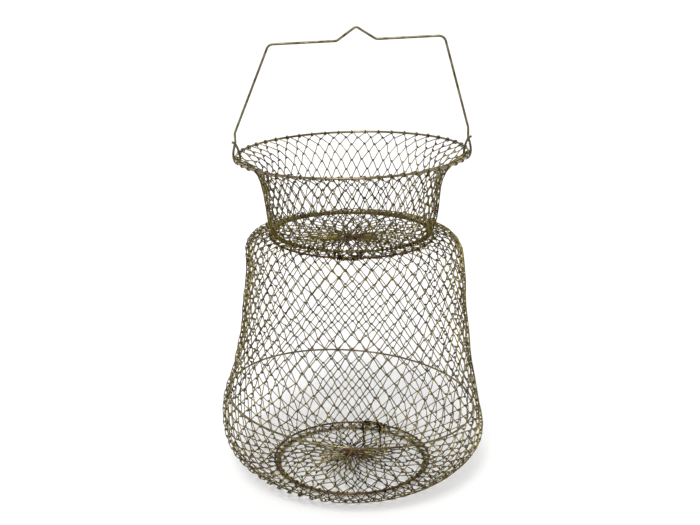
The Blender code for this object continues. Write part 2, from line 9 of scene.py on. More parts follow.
import bpy
import numpy as np
from bpy.props import FloatProperty, FloatVectorProperty, IntProperty, PointerProperty
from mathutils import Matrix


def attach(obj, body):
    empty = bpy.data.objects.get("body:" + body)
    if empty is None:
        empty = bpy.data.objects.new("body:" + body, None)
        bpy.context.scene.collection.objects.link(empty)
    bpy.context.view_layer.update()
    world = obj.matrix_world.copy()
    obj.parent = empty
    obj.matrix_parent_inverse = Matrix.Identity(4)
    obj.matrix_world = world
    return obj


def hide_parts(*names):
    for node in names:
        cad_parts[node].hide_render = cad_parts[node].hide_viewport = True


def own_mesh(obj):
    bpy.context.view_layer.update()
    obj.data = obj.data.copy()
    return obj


bl_info = {
    "name": "Wire Keep Net",
    "version": (1, 0, 0),
    "blender": (4, 5, 0),
    "location": "3D View > Sidebar > Keep Net",
    "description": "Builds the knotted nets, rings, doors, bail and studio of a collapsible wire keep net",
    "category": "Add Mesh",
}

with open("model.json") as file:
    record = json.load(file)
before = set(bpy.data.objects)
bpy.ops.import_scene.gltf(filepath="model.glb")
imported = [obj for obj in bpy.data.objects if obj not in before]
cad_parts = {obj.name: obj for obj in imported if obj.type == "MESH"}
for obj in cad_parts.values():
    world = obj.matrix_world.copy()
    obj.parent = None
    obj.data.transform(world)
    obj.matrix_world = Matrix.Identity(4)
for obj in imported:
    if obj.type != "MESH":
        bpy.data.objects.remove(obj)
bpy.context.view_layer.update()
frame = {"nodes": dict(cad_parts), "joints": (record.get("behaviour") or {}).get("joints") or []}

MOUTH_LEAN = math.radians(1.5)
BELLY_LEAN = math.radians(4.0)
FRONT = math.radians(-90.0)

# Each door's way into the basket: +1 up, -1 down
INTO = {"throat": -1.0, "bottom": 1.0}

# Air between pieces that lie beside each other
CLEARANCE = 0.0003

# How far a door's hinge bar lies inside the plane of its frame ring
HINGE_DROP = 0.0065

# Room that the net's turns on a ring leave beside the bail's eyes and beside the hinge links
EYE_ROOM = 0.0165
LINK_ROOM = 0.0046

# How far the cells under the bail's eyes are drawn down
EYE_SAG = 0.0058

# The soft body's stand to the right at its shoulder, on its left and on its right side
SWAY = 0.0061, 0.0031

# Shares by which the bail's pull narrows the mouth ring sideways and lengthens it from front to back
SQUEEZE = np.array([-0.0147, 0.0120, 0.0])

# Powers of the superellipses that the shoulder and the bowl of the body follow
SHOULDER_POWER = 2.5
BOWL_POWER = 1.75

# The photograph's camera: focal length and picture width in pixels, place, and pitch down in degrees
FOCAL_LENGTH = 1135
PICTURE_WIDTH = 700
CAMERA_PLACE = -0.0025, -1.424, 0.713
CAMERA_PITCH = 16.68

# Way to the soft box, which the wires mirror
SOFT_BOX_WAY = -0.12, -0.61, 0.78


def cad_points(name):
    """Points of a CAD node's mesh."""
    data = frame["nodes"][name].data
    points = np.empty(len(data.vertices) * 3)
    data.vertices.foreach_get("co", points)
    return points.reshape(-1, 3)


def ring_height(name):
    """Height of the middle of a CAD ring."""
    return float(cad_points(name)[:, 2].mean())


def linear(hex_colour):
    """Linear colour of an sRGB hex value."""
    parts = [int(hex_colour[i : i + 2], 16) / 255 for i in (0, 2, 4)]
    return [c / 12.92 if c <= 0.04045 else ((c + 0.055) / 1.055) ** 2.4 for c in parts]


# Sizes and colours


def length(name, default, description):
    """Property that holds a length in metres."""
    return FloatProperty(name=name, default=default, description=description, unit="LENGTH", precision=5)


def number(name, default, low, high, description):
    """Property that holds a whole number."""
    return IntProperty(name=name, default=default, min=low, max=high, description=description)


def colour(name, hex_colour, description):
    """Property that holds a linear colour, set from its sRGB hex value."""
    look = {"subtype": "COLOR", "size": 3, "min": 0.0, "max": 1.0}
    return FloatVectorProperty(name=name, default=linear(hex_colour), description=description, **look)


class KeepNetRings(bpy.types.PropertyGroup):
    mouth_radius: length("Mouth ring", 0.150, "Radius of the mouth ring to the middle of its wire")
    mouth_height: length("Mouth height", ring_height("mouth_ring"), "Height of the middle of the mouth ring")
    mouth_wire: length("Mouth wire", 0.0030, "Diameter of the mouth ring's wire")
    belly_radius: length("Belly ring", 0.165, "Radius of the ring inside the belly")
    belly_height: length("Belly height", ring_height("belly_ring"), "Height of the middle of the belly ring")
    frame_radius: length("Frame rings", 0.0996, "Radius of the throat and bottom frame rings")
    throat_height: length("Throat height", ring_height("throat_frame_ring"), "Height of the throat frame")
    foot_height: length("Foot height", ring_height("bottom_frame_ring"), "Height of the bottom frame ring")
    ring_wire: length("Ring wire", 0.0025, "Diameter of the belly, frame and door rings' wire")
    door_radius: length("Door rings", 0.1055, "Radius of the door rings")


class KeepNetBody(bpy.types.PropertyGroup):
    shoulder_radius: length("Shoulder", 0.1410, "Radius of the net at the foot of the shoulder")
    shoulder_drop: length("Shoulder drop", 0.033, "Height of the shoulder")
    belly_radius: length("Belly", 0.1702, "Radius of the net at the belly line")
    bulge_radius: length("Bulge", 0.1748, "Radius of the net where it is widest")
    bulge_drop: length("Bulge drop", 0.031, "How far under the belly line the net is widest")
    foot_radius: length("Foot", 0.1025, "Radius at which the net stands on the floor")


class KeepNetMesh(bpy.types.PropertyGroup):
    cells: number("Cells", 50, 12, 120, "Diamond cells round the net")
    wire: length("Net wire", 0.00125, "Diameter of the net's wire")
    neck_row: length("Neck row", 0.0118, "Step from one row of knots to the next on the neck")
    shoulder_row: length("Shoulder row", 0.0096, "Step between rows of knots at the throat and shoulder")
    side_row: length("Side row", 0.0130, "Step between rows of knots at the belly and below")
    door_row: length("Door row", 0.0132, "Step between rows of knots on the doors")
    door_cells: number("Door cells", 34, 12, 80, "Diamond cells round a door")
    slack: length("Slack", 0.0008, "How far a knot strays from its even place")
    door_slack: length("Door slack", 0.0017, "How far a knot of the looser door nets strays")


class KeepNetBail(bpy.types.PropertyGroup):
    wire: length("Bail wire", 0.0030, "Diameter of the bail's wire")
    peak: length("Peak", 0.158, "Height of the bent peak above the mouth ring")
    bar: length("Bar", 0.1415, "Height of the bail's bar above the mouth ring")
    corner_half: length("Half bar", 0.109, "Half the length of the bar between its corners")


class KeepNetDoors(bpy.types.PropertyGroup):
    spring_wire: length("Spring wire", 0.0020, "Diameter of the door springs' wire")
    spring_turns: number("Turns", 3, 2, 10, "Turns of each spring coil")
    spring_leg: length("Spring leg", 0.082, "Reach of a spring leg from the hinge bar over the net")
    spring_half: length("Half bridge", 0.0051, "Half the width of the bridge between the two coils")
    link_wire: length("Link wire", 0.0012, "Diameter of the hinge links' wire")
    tie_wire: length("Tie wire", 0.0010, "Diameter of the wire wound on the gathered strands")


class KeepNetColours(bpy.types.PropertyGroup):
    net: colour("Net wire", "796c38", "Olive brass tone of the lacquered net wire")
    # This dull brown is also the painted shade at the knots, on the lacing turns and on the gathered strands
    net_dark: colour("Net wire, dulled", "35290f", "Brown of the lacquer where it has dulled")
    ring: colour("Ring wire", "746a45", "Dark bronze of the rings")
    ring_dark: colour("Ring wire, dulled", "42311b", "Brown of the rings where their lacquer has dulled")
    door: colour("Door wire", "63462b", "Reddish brown of the door rings and ties")
    spring: colour("Spring wire", "332817", "Dark brown oxide of the spring wire")
    bail: colour("Bail wire", "78745a", "Greenish grey of the bail")
    floor: colour("Floor", "ffffff", "White floor")


class KeepNet(bpy.types.PropertyGroup):
    rings: PointerProperty(type=KeepNetRings)
    body: PointerProperty(type=KeepNetBody)
    mesh: PointerProperty(type=KeepNetMesh)
    bail: PointerProperty(type=KeepNetBail)
    doors: PointerProperty(type=KeepNetDoors)
    colours: PointerProperty(type=KeepNetColours)


# Wire surfaces


def unit(v):
    """Vectors scaled to length one."""
    return v / np.linalg.norm(v, axis=-1, keepdims=True)


def running(steps):
    """Running total of steps, from nought."""
    return np.concatenate([[0.0], np.cumsum(steps)])


def turned(radius, angle, height):
    """Points at a radius and an angle round the axis, and at a height."""
    return np.stack(np.broadcast_arrays(radius * np.cos(angle), radius * np.sin(angle), height), axis=-1)


def tube(path, wire, across, sides=8, closed=False, dulled=0.0):
    """Surface of a round wire: P(s, a) = C(s) + r cos(a) N(s) + r sin(a) B(s).

    C is the path. B is its tangent crossed with a reference direction that is nowhere along it, and N is B
    crossed with the tangent. The path closes on itself, or its two ends are capped. Each point takes a share
    of the darker colour: dull lacquer, and painted shade at the knots and lacing turns. Gives the points,
    faces, caps, lengths along the wire, sides and shares.
    """
    if closed:
        tangent = unit(np.roll(path, -1, axis=0) - np.roll(path, 1, axis=0))
    else:
        tangent = unit(np.gradient(path, axis=0))
    side = unit(np.cross(tangent, np.broadcast_to(across, path.shape)))
    up = np.cross(side, tangent)
    turn = np.arange(sides) * 2 * np.pi / sides
    ring = np.cos(turn)[None, :, None] * up[:, None] + np.sin(turn)[None, :, None] * side[:, None]
    points = path[:, None] + np.asarray(wire).reshape(-1, 1, 1) / 2 * ring
    count = len(path)
    here = np.arange(count if closed else count - 1)[:, None]
    there = (here + 1) % count
    a = np.arange(sides)[None]
    b = (a + 1) % sides
    faces = np.stack([here * sides + a, here * sides + b, there * sides + b, there * sides + a], axis=-1)
    caps = [] if closed else [np.arange(sides)[::-1], (count - 1) * sides + np.arange(sides)]
    step = np.linalg.norm(np.diff(path, axis=0, append=path[:1]), axis=1)
    along = running(step)
    shares = np.repeat(np.broadcast_to(dulled, count), sides)
    return points.reshape(-1, 3), faces.reshape(-1, 4), caps, along, sides, shares


def wire_piece(name, tubes, material, body):
    """One mesh object of several tubes. Its UV map: v in metres along the wire, u by the sides round it."""
    side_step = 0.001
    points, faces, caps, uvs, dulled = [], [], [], [], []
    start = 0
    for spots, quads, ends, along, sides, shares in tubes:
        dulled.append(shares)
        points.append(spots)
        faces.append(quads + start)
        caps += [cap + start for cap in ends]
        a = quads[:, 0] % sides
        s = quads[:, 0] // sides
        u = np.stack([a, a + 1, a + 1, a], axis=-1) * side_step
        v = np.stack([along[s], along[s], along[s + 1], along[s + 1]], axis=-1)
        uvs.append(np.stack([u, v], axis=-1).reshape(-1, 2))
        start += len(spots)
    points = np.concatenate(points)
    faces = np.concatenate(faces)
    ends = np.concatenate(caps) if caps else np.empty(0, int)
    sizes = np.concatenate([np.full(len(faces), 4), [len(cap) for cap in caps]]).astype(np.int32)
    mesh = bpy.data.meshes.new(name)
    mesh.vertices.add(len(points))
    mesh.vertices.foreach_set("co", points.astype(np.float32).ravel())
    mesh.loops.add(int(sizes.sum()))
    mesh.loops.foreach_set("vertex_index", np.concatenate([faces.ravel(), ends]).astype(np.int32))
    mesh.polygons.add(len(sizes))
    mesh.polygons.foreach_set("loop_start", np.concatenate([[0], np.cumsum(sizes)[:-1]]).astype(np.int32))
    mesh.update(calc_edges=True)
    mesh.polygons.foreach_set("use_smooth", sizes == 4)
    layer = mesh.uv_layers.new(name="along_wire")
    layer.data.foreach_set("uv", np.concatenate([*uvs, np.zeros((len(ends), 2))]).astype(np.float32).ravel())
    # Share of the darker colour at each point, read by the finish: painted shade at knots and lacing turns.
    share = mesh.attributes.new("dulled", "FLOAT", "POINT")
    share.data.foreach_set("value", np.concatenate(dulled).astype(np.float32))
    mesh.validate()
    piece = bpy.data.objects.new(name, mesh)
    bpy.context.scene.collection.objects.link(piece)
    mesh.materials.append(material)
    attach(piece, body)
    return piece


def placed(points, matrix):
    """Points carried by a 4 x 4 matrix."""
    return points @ matrix[:3, :3].T + matrix[:3, 3]


def tilted(height, lean):
    """Matrix of a level plane at a height, leaned about Y: x goes down for a lean above nought."""
    matrix = np.eye(4)
    matrix[:3, :3] = [[math.cos(lean), 0, math.sin(lean)], [0, 1, 0], [-math.sin(lean), 0, math.cos(lean)]]
    matrix[2, 3] = height
    return matrix


def ring_tube(radius, wire, matrix, joint, squeeze):
    """Wire ring, butt welded at the angle joint: C(t) = R (cos t, sin t, 0), squeezed by a share each way.

    The wire swells by swelling exp(-(R (t - joint) / weld)^2), and the points crowd together there.
    """
    swelling, weld, crowd, gap = 0.11, 0.0016, 0.006, 0.05
    even = np.linspace(-np.pi, np.pi, 181)[:-1]
    fine = np.linspace(-crowd, crowd, 9) / radius
    t = np.sort(np.concatenate([even[np.abs(even) > gap], fine])) + joint
    swell = 1 + swelling * np.exp(-(((t - joint) * radius / weld) ** 2))
    path = turned(radius, t, 0.0) * (1 + squeeze)
    return tube(placed(path, matrix), wire * swell, matrix[:3, 2], 12, closed=True)


def bent(corners, radii, steps=10):
    """Points along straight runs whose inner corners are arcs of the given radii.

    Arc: centre + r (sin((1 - q) w) u + sin(q w) v) / sin(w), with q from 0 to 1, u and v the ways to its two
    ends and w the angle between them.
    """
    path = [corners[:1]]
    for before, corner, after, radius in zip(corners, corners[1:], corners[2:], radii):
        back, ahead = unit(before - corner), unit(after - corner)
        half = math.acos(float(back @ ahead)) / 2
        centre = corner + unit(back + ahead) * radius / math.sin(half)
        u = unit(corner + back * radius / math.tan(half) - centre)
        v = unit(corner + ahead * radius / math.tan(half) - centre)
        q = np.linspace(0, 1, steps + 1)[:, None]
        w = math.pi - 2 * half
        path.append(centre + radius * (np.sin((1 - q) * w) * u + np.sin(q * w) * v) / math.sin(w))
    return np.concatenate([*path, corners[-1:]])


# Knotted nets


def seat(ring, wire):
    """Distance from the middle of a ring's wire to the middle of the net wire that is laced beside it."""
    return (ring + wire) / 2 + CLEARANCE


def neck_profile(sizes, wire):
    """Neck's middle surface: r = waist + cone v + flare v^8 - tuck (1 - v)^12, with z linear in v."""
    waist, cone, start = sizes.frame_radius + 0.0062, 0.0125, sizes.throat_height + 0.0008
    v = np.linspace(0, 1, 240)
    low = sizes.frame_radius + seat(sizes.ring_wire, wire)
    high = sizes.mouth_radius - seat(sizes.mouth_wire, wire)
    radius = waist + cone * v + (high - waist - cone) * v**8 - (waist - low) * (1 - v) ** 12
    return radius, start + (sizes.mouth_height - start) * v


def body_profile(sizes, body, wire, outset):
    """Body's middle surface from the throat frame to the bottom frame, and the belly line's place on it.

    Shoulder and bowl: superellipses. Side between them: r grows with (s + s^3) / 2. Bulge: a parabola. All
    of it is moved out by the outset, which fades at both ends.
    """
    foot_z, shoulder_lip, bottom_lip, fade = 0.0007, 0.0008, 0.0005, 12
    shoulder, bowl = 2 / SHOULDER_POWER, 2 / BOWL_POWER
    a = np.linspace(0, np.pi / 2, 160)
    inner = sizes.frame_radius + seat(sizes.ring_wire, wire)
    corner = sizes.throat_height - body.shoulder_drop
    widest = sizes.belly_height - body.bulge_drop
    shoulder_r = inner + (body.shoulder_radius - inner) * np.sin(a) ** shoulder
    shoulder_z = corner + (body.shoulder_drop - shoulder_lip) * np.cos(a) ** shoulder
    s = np.linspace(0, 1, 120)[1:]
    side_r = body.shoulder_radius + (body.belly_radius - body.shoulder_radius) * (s + s**3) / 2
    side_z = corner + (sizes.belly_height - corner) * s
    q = np.linspace(0, 1, 30)[1:]
    bulge_r = body.bulge_radius - (body.bulge_radius - body.belly_radius) * (1 - q) ** 2
    bulge_z = sizes.belly_height - body.bulge_drop * q
    bowl_r = body.foot_radius + (body.bulge_radius - body.foot_radius) * np.cos(a[1:]) ** bowl
    bowl_z = foot_z + (widest - foot_z) * (1 - np.sin(a[1:]) ** bowl)
    radius = np.concatenate([shoulder_r, side_r, bulge_r, bowl_r, [inner]])
    height = np.concatenate([shoulder_z, side_z, bulge_z, bowl_z, [sizes.foot_height - bottom_lip]])
    normal = unit(np.stack([-np.gradient(height), np.gradient(radius)], axis=-1))
    order = np.arange(len(radius))
    out = outset * np.minimum(1, np.minimum(order, order[::-1]) / fade)
    return radius + normal[:, 0] * out, height + normal[:, 1] * out, len(shoulder_r) + len(side_r) - 1


def graded(total, first, last):
    """Places along a length whose steps run evenly from about the first size to about the last."""
    step = np.linspace(first, last, max(2, round(2 * total / (first + last))))
    return running(step) * total / step.sum()


def crowded(angle, share, share2=0.0):
    """Angles drawn to or from the front: angle + a sin t + b sin(2 t) / 2, with t from the front."""
    t = angle - FRONT
    return angle + share * np.sin(t) + share2 * np.sin(2 * t) / 2


def clear_of(angle, centres, gap):
    """Angles moved away from each centre: a distance d from it becomes (d^3 + gap^3)^(1/3)."""
    for centre in centres:
        d = (angle - centre + np.pi) % (2 * np.pi) - np.pi
        angle = centre + np.copysign((np.abs(d) ** 3 + gap**3) ** (1 / 3), d)
    return angle


def link_angles(prefix, settings):
    """Angles on a frame ring where a door's two hinge links grip it."""
    x = hinge_matrices(prefix)[0][:3, 0] * INTO[prefix]
    middle = math.atan2(-x[0], x[1])
    beside = math.asin(door_sizes(settings)[3] / settings.rings.frame_radius)
    return middle - beside, middle + beside


class Knots:
    """Rows of knots on a turned surface: their points, and the ways round, up and out at each.

    The knots stray from their even places, and r wavers by sin(3 angle + 90 s), but not in the end rows.
    """

    def __init__(self, radius, height, places, cells, phase, draw, stray, lean, seed):
        waver, least_radius, step = 0.0006, 0.02, 0.002
        along = running(np.hypot(np.diff(radius), np.diff(height)))
        rows = np.arange(len(places))
        chance = np.random.default_rng(seed)
        free = np.ones(len(places))
        free[[0, -1]] = 0.0
        s = places[:, None] + stray * free[:, None] * chance.standard_normal((len(places), cells))
        s = np.clip(s, 0, along[-1])
        even = phase + (np.arange(cells)[None] + (rows % 2)[:, None] / 2) * 2 * np.pi / cells
        angle = draw(even, (places / along[-1])[:, None])
        r = np.interp(s, along, radius)
        z = np.interp(s, along, height)
        aside = stray * free[:, None] * chance.standard_normal(angle.shape)
        angle = angle + aside / np.maximum(r, least_radius)
        r = r + waver * free[:, None] * np.sin(3 * angle + 90 * places[:, None])
        slope_r = np.interp(s + step, along, radius) - np.interp(s - step, along, radius)
        slope_z = np.interp(s + step, along, height) - np.interp(s - step, along, height)
        cos, sin = np.cos(angle), np.sin(angle)
        self.points = turned(r, angle, z)
        self.points += lean(self.points)
        self.round = np.stack([-sin, cos, 0 * cos], axis=-1)
        self.up = unit(np.stack([-slope_r * cos, -slope_r * sin, -slope_z], axis=-1))
        self.out = np.cross(self.round, self.up)

    def bend(self, row, turned_up, half_turns, reach, rise, aside, hand, shift=0):
        """Wire's bend over a knot's place: an arc from one face of the net to the other.

        place + reach cos(a) out + rise sin(a) up + aside (from -1 to 1) round, with a from 0 to pi for each
        half turn. The hand is +1 where the wire arrives on the outer face, and turned_up is -1 for a bend
        that hangs down.
        """
        steps = 4 * half_turns + 1
        a = np.linspace(0, np.pi * half_turns, steps)[None, :, None]
        if half_turns == 1:
            drift = -np.cos(a)
        else:
            drift = np.linspace(-1, 1, steps)[None, :, None]
        ways = self.points, self.round, self.up, self.out
        place, beside, up, out = (np.roll(way[row], shift, axis=0)[:, None] for way in ways)
        path = place + hand * reach * np.cos(a) * out
        path = path + turned_up * rise * np.sin(a) * up + aside * drift * beside
        return path, np.broadcast_to(beside, path.shape)

    def row_tube(self, row, wire, hand, top, bottom):
        """One closed wire: over a row's knots, down to the next row's and up again, all the way round."""
        shift = -(row % 2)
        upper, upper_across = self.bend(row, 1, *top, hand)
        lower, lower_across = self.bend(row + 1, -1, *bottom, -hand, shift)
        path = np.concatenate([upper, lower], axis=1).reshape(-1, 3)
        across = np.concatenate([upper_across, lower_across], axis=1).reshape(-1, 3)
        # The bends over the knots take the darker colour in full: painted shade where the wires hook round
        # each other.
        inside = [np.sin(np.linspace(0, np.pi, part.shape[1])) > 0.1 for part in (upper, lower)]
        dulled = np.tile(np.concatenate(inside), len(upper)).astype(float)
        return tube(path, wire, across, 6, closed=True, dulled=dulled)


def hooked(wire):
    """Bend hooked into the next row's: half turns, then reach, rise and drift by the wire's thickness."""
    return 1, wire * 1.3, wire * 0.75, wire * 0.6


def lacing(places, radius, ring, wire, side, matrix, squeeze=(0.0, 0.0, 0.0)):
    """Turn and a half of wire round a ring at each place, which holds a net's bends against the ring's side.

    Turn: centre + (ring / 2 + wire) cos(a) out + seat sin(a) up, drifting along the ring. The centre lies
    half a wire to the net's side of the ring's own. The ring is squeezed by a share each way.
    """
    air, drift = 0.0001, 0.8
    a = np.linspace(0, 3 * np.pi, 19) + (0 if side > 0 else np.pi)
    out = radius + side * (wire / 2 + air) + (ring / 2 + wire) * np.cos(a)
    along = wire * drift * np.linspace(-1, 1, len(a))
    turn = np.arctan2(places[:, 1] * (1 + squeeze[0]), places[:, 0] * (1 + squeeze[1]))[:, None]
    cos, sin = np.cos(turn), np.sin(turn)
    up = seat(ring, wire) * np.sin(a) + 0 * turn
    paths = np.stack([out * cos - along * sin, out * sin + along * cos, up], axis=-1)
    paths += turned(radius, turn, 0.0) * squeeze
    ways = np.column_stack([-sin, cos, 0 * sin])
    # Each turn takes two fifths of the darker colour: painted shade on the wire wound round the ring
    return [tube(placed(path, matrix), wire, way, 6, dulled=0.4) for path, way in zip(paths, ways)]


def frame_lacing(name, places, height, body, settings):
    """Lacing that holds the last knots of a net on a frame ring."""
    sizes, wire = settings.rings, settings.mesh.wire
    turns = lacing(places, sizes.frame_radius, sizes.ring_wire, wire, 1, tilted(height, 0.0))
    wire_piece(name, turns, finish("lacquered_net_wire"), body)


def smooth(x):
    """Smooth step: 3 x^2 - 2 x^3, and 0 and 1 beyond its ends."""
    x = np.clip(x, 0, 1)
    return x * x * (3 - 2 * x)


# Finishes


def fill(made, **inputs):
    """Give a node's inputs, each by its name or as i and its number, values or other nodes' outputs."""
    for name, value in inputs.items():
        numbered = name[0] == "i" and name[1:].isdigit()
        socket = made.inputs[int(name[1:]) if numbered else name.replace("_", " ")]
        if isinstance(value, bpy.types.NodeSocket):
            made.id_data.links.new(value, socket)
        else:
            socket.default_value = value


def node(tree, kind, settings=None, **inputs):
    """Add a node with its settings and inputs."""
    made = tree.nodes.new(kind)
    for name, value in (settings or {}).items():
        setattr(made, name, value)
    fill(made, **inputs)
    return made


def maths(tree, operation, first, second):
    """Output of a node that works out one number from two."""
    return node(tree, "ShaderNodeMath", {"operation": operation}, i0=first, i1=second).outputs[0]


def ranged(tree, value, **ends):
    """Output of a node that carries one range of numbers over to another."""
    return node(tree, "ShaderNodeMapRange", Value=value, **ends).outputs["Result"]


def blend(tree, share, first, second):
    """Output of a node that mixes two colours."""
    colours = {"i6": (*first, 1.0), "i7": (*second, 1.0)}
    return node(tree, "ShaderNodeMix", {"data_type": "RGBA"}, Factor=share, **colours).outputs[2]


def drawn_wire(name, bright, dull, roughness, patch=0.018, edge=1.0, coat=0.0):
    """Finish of drawn steel wire under a thin tinted lacquer.

    Drawing leaves it smooth with fine lines along its length, so it keeps narrow bright glints. The lacquer
    has gone dull in patches of one to three centimetres, which are darker and rougher. The mesh's share
    darkens
    it too: painted shade at the knots' bends and on the lacing turns. The edge is how much a glancing view
    whitens it: less than 1 on an oxide skin, which stays dark. The coat is how far the lacquer has a skin of
    its own, with white glints over the metal's own.
    """
    material = bpy.data.materials.new(name)
    material.use_nodes = True
    tree = material.node_tree
    shader = tree.nodes["Principled BSDF"]
    fill(shader, Metallic=1.0, Specular_Tint=(edge, edge, edge, 1.0), Coat_Weight=coat, Coat_Roughness=0.12)
    place = node(tree, "ShaderNodeTexCoord").outputs["Object"]
    noise = node(tree, "ShaderNodeTexNoise", Vector=place, Scale=1 / patch, Detail=4.0, Roughness=0.6)
    patches = noise.outputs["Fac"]
    spots = ranged(tree, patches, From_Min=0.38, From_Max=0.66)
    # Painted shade at the knots' bends and lacing turns, from the mesh's share
    bends = node(tree, "ShaderNodeAttribute", {"attribute_name": "dulled"}).outputs["Fac"]
    tone = blend(tree, maths(tree, "MAXIMUM", spots, bends), bright, dull)
    rough = ranged(tree, patches, From_Min=0.3, From_Max=0.7, To_Min=roughness, To_Max=roughness + 0.18)
    # Die lines are a few hundredths of a millimetre apart; they are made ten times coarser so that they show
    lines = node(tree, "ShaderNodeUVMap", {"uv_map": "along_wire"}).outputs["UV"]
    stretch = node(tree, "ShaderNodeMapping", Vector=lines, Scale=(3000.0, 120.0, 1.0)).outputs["Vector"]
    grain = node(tree, "ShaderNodeTexNoise", Vector=stretch, Scale=1.0, Detail=2.0).outputs["Fac"]
    bump = node(tree, "ShaderNodeBump", Strength=0.12, Distance=0.0001, Height=grain).outputs["Normal"]
    fill(shader, Base_Color=tone, Roughness=rough, Normal=bump)
    return material


def finish(name):
    """Finish of a kind of wire, made once."""
    found = bpy.data.materials.get(name)
    if found:
        return found
    c = bpy.context.scene.keep_net.colours
    # Bright and dull colour, roughness, and where they differ from the usual: patch, edge and coat
    wires = {
        # Fine net wire: brass-tinted lacquer over steel, olive, and brown where dull and as painted shade at
        # the knots
        "lacquered_net_wire": (c.net, c.net_dark, 0.30, 0.030),
        # Ring wire: the same lacquer, thicker and darker, so it looks like old bronze under a clear skin
        "lacquered_ring_wire": (c.ring, c.ring_dark, 0.22, 0.018, 1.0, 0.7),
        # Door wire: lacquer that has browned where wet, reddish in the dull patches
        "browned_door_wire": (c.door, c.net_dark, 0.34),
        # Spring wire: hard drawn and tempered, which leaves a dark brown oxide under the lacquer
        "tempered_spring_wire": (c.spring, c.net_dark, 0.36, 0.018, 0.2),
        # Bail wire: dipped zinc gone grey green from handling, the palest of the wires
        "weathered_bail_wire": (c.bail, c.ring_dark, 0.34, 0.012),
    }
    return drawn_wire(name, *wires[name])


# Pieces


class KEEPNET_OT_rings(bpy.types.Operator):
    """Make the mouth ring, the belly ring and the two frame rings from round welded wire"""

    bl_idname = "keepnet.rings"
    bl_label = "Rings"

    def execute(self, context):
        sizes = context.scene.keep_net.rings
        metal = finish("lacquered_ring_wire")
        # Node, body, radius, wire, lean and the angle of the weld
        rings = [
            ("mouth_ring", "mouth", sizes.mouth_radius, sizes.mouth_wire, -MOUTH_LEAN, 2.0),
            ("belly_ring", "belly", sizes.belly_radius, sizes.ring_wire, BELLY_LEAN, 1.1),
            ("throat_frame_ring", "throat", sizes.frame_radius, sizes.ring_wire, 0.0, 2.6),
            ("bottom_frame_ring", "foot", sizes.frame_radius, sizes.ring_wire, 0.0, -2.3),
        ]
        for node_name, body, radius, wire, lean, joint in rings:
            plane = tilted(getattr(sizes, f"{body}_height"), lean)
            shape = ring_tube(radius, wire, plane, joint, SQUEEZE * (body == "mouth"))
            piece = wire_piece(f"round_{node_name}", [shape], metal, body)
            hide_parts(node_name)
        return {"FINISHED"}


def bail_path(sizes, ring_radius):
    """Bail's centre line in its own plane: a bar with a bent peak, two splayed legs and an eye at each foot.

    Eye: x = R + W sin(t) sin(t / 2) - skew sin(t / 2)^2, z = middle + H cos(t), drifting aside by the wire's
    thickness as t goes round. The wire's cut end turns outwards from it.
    """
    shift, rise, peak_half, knee = 0.009, math.tan(math.radians(1.4)), 0.0245, 0.0290
    knee_bend, corner_bend, peak_bend = 0.010, 0.009, 0.004
    top, low, half_width, skew = 0.0165, 0.0102, 0.0043, 0.0015
    end_way, end_step = (0.92, 0.0, 0.39), 0.0011
    halves = -sizes.corner_half, -peak_half, peak_half, sizes.corner_half
    bar = [(shift + x, 0.0, sizes.bar + x * rise) for x in halves]
    corners = np.array([
        (-ring_radius, 0.0, top), (-ring_radius, 0.0, knee), bar[0], bar[1],
        (shift, 0.0, sizes.peak), bar[2], bar[3], (ring_radius, 0.0, knee), (ring_radius, 0.0, top),
    ])
    bends = [knee_bend, corner_bend, corner_bend]
    run = bent(corners, [*bends, peak_bend, *bends[::-1]])[1:-1]
    t = np.linspace(0, 2 * np.pi, 49)
    teardrop = np.sin(t) * np.sin(t / 2)
    height = (top + low) / 2
    aside = -(sizes.wire + 2 * CLEARANCE) * (t / (2 * np.pi)) ** 4
    x = ring_radius + half_width / teardrop.max() * teardrop - skew * np.sin(t / 2) ** 2
    eye = np.stack([x, aside, top - height + height * np.cos(t)], axis=-1)
    turn = np.linspace(0.2, 1.0, 5)[:, None]
    ways = unit((1 - turn) * unit(eye[-1] - eye[-2]) + turn * end_way)
    right = np.concatenate([eye, eye[-1] + np.cumsum(end_step * ways, axis=0)])
    left = right[::-1] * (-1, 1, 1)
    return np.concatenate([left, run, right])


class KEEPNET_OT_bail(bpy.types.Operator):
    """Make the bail handle that swings on the mouth ring"""

    bl_idname = "keepnet.bail"
    bl_label = "Bail"

    def execute(self, context):
        settings = context.scene.keep_net
        matrix = tilted(settings.rings.mouth_height, -MOUTH_LEAN)
        half = settings.rings.mouth_radius * (1 + SQUEEZE[0])
        path = placed(bail_path(settings.bail, half), matrix)
        shape = tube(path, settings.bail.wire, matrix[:3, 1], 12)
        piece = wire_piece("bent_bail", [shape], finish("weathered_bail_wire"), "bail")
        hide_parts("bail_handle")
        return {"FINISHED"}


